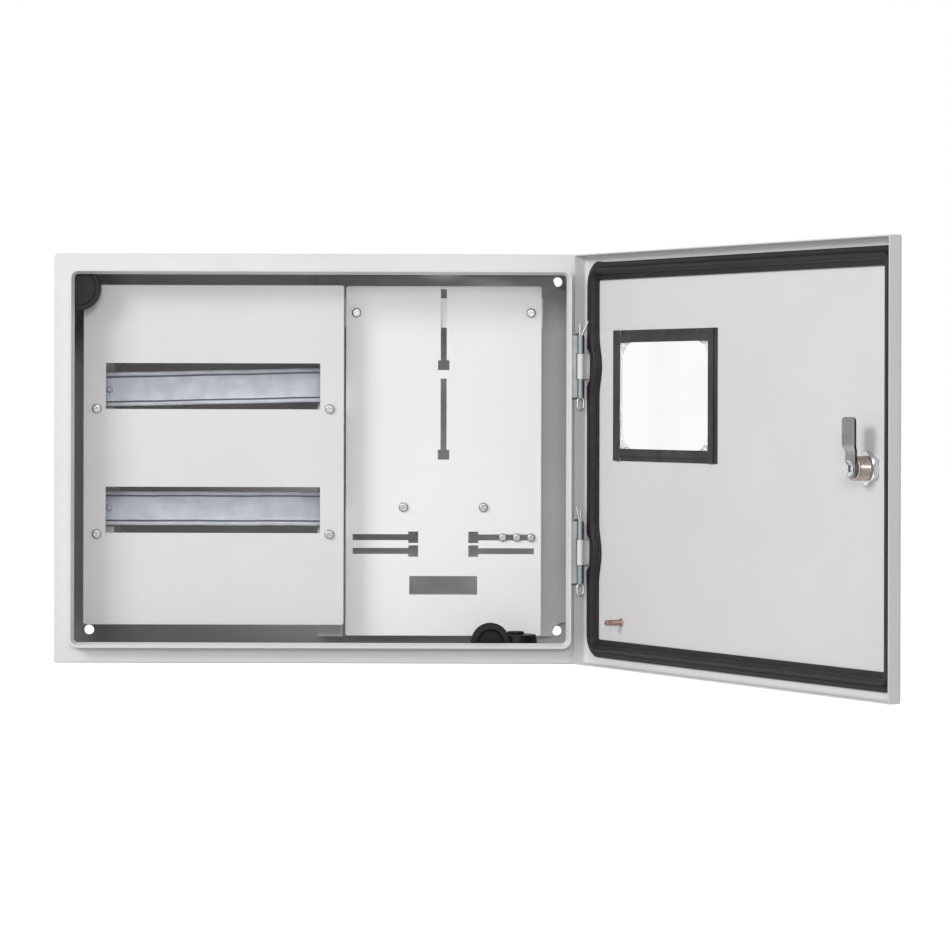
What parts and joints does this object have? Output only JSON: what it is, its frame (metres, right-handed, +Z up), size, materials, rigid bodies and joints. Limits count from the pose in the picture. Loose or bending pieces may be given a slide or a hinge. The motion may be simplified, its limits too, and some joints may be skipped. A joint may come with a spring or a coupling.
{
  "type": "electric meter box",
  "caption": "Wall-mounted sheet-steel meter box with a hinged, windowed door, rubber seal, cam lock, rails behind a cut-out cover and a slotted meter plate.",
  "frame": {"origin": "centre of the four wall-fixing holes, on the back of the box that lies on the wall", "axes": "+X to the right and +Z up as seen from in front; +Y into the wall, so the open front faces -Y"},
  "size_m": [0.7836, 0.6579, 0.411],
  "materials": {
    "painted_steel": "light grey powder coat, fine texture",
    "plated_steel": "bright zinc plate",
    "rivet_metal": "plain",
    "black_rubber": "satin black",
    "clear_sheet": "clear",
    "black_tape": "matt black",
    "stud_copper": "copper plate",
    "lock_metal": "nickel plate"
  },
  "bodies": {
    "cabinet": {"cabinet_shell": "painted_steel", "back_panel": "painted_steel", "mounting_panel": "painted_steel", "left_support_channel": "painted_steel", "centre_support_channel": "painted_steel", "upper_din_rail": "plated_steel", "lower_din_rail": "plated_steel", "rail_rivets": "rivet_metal", "din_cover_plate": "painted_steel", "cover_standoffs": "plated_steel", "cover_screws": "plated_steel", "upper_meter_bridge": "painted_steel", "lower_meter_bridge": "painted_steel", "meter_plate": "painted_steel", "meter_plate_screws": "plated_steel", "meter_fixing_screws": "plated_steel", "meter_fixing_nuts": "plated_steel", "grommet_standing": "black_rubber", "grommet_flat": "black_rubber", "grommet_corner": "black_rubber", "upper_body_hinge_leaf": "plated_steel", "lower_body_hinge_leaf": "plated_steel"},
    "door": {"door_panel": "painted_steel", "door_gasket": "black_rubber", "window_pane": "clear_sheet", "window_tape_left": "black_tape", "window_tape_right": "black_tape", "window_tape_top": "black_tape", "window_tape_bottom": "black_tape", "upper_door_hinge_leaf": "painted_steel", "lower_door_hinge_leaf": "painted_steel", "upper_split_pin": "plated_steel", "lower_split_pin": "plated_steel", "earth_stud": "stud_copper", "lock_housing": "lock_metal", "lock_seal": "black_rubber", "lock_nut": "lock_metal"},
    "lock_cam": {"lock_rotor": "lock_metal", "cam": "plated_steel", "cam_washer": "plated_steel", "cam_bolt": "plated_steel"}
  },
  "joints": [
    {"name": "door_hinge", "type": "hinge", "parent": "cabinet", "child": "door", "pos_m": [0.2605, -0.1908, 0], "axis": [0, 0, 1], "range_deg": [-118, 0]},
    {"name": "lock_turn", "type": "hinge", "parent": "door", "child": "lock_cam", "pos_m": [0.49444, -0.60948, 0], "axis": [0.8829, 0.4695, 0], "range_deg": [0, 90]}
  ]
}
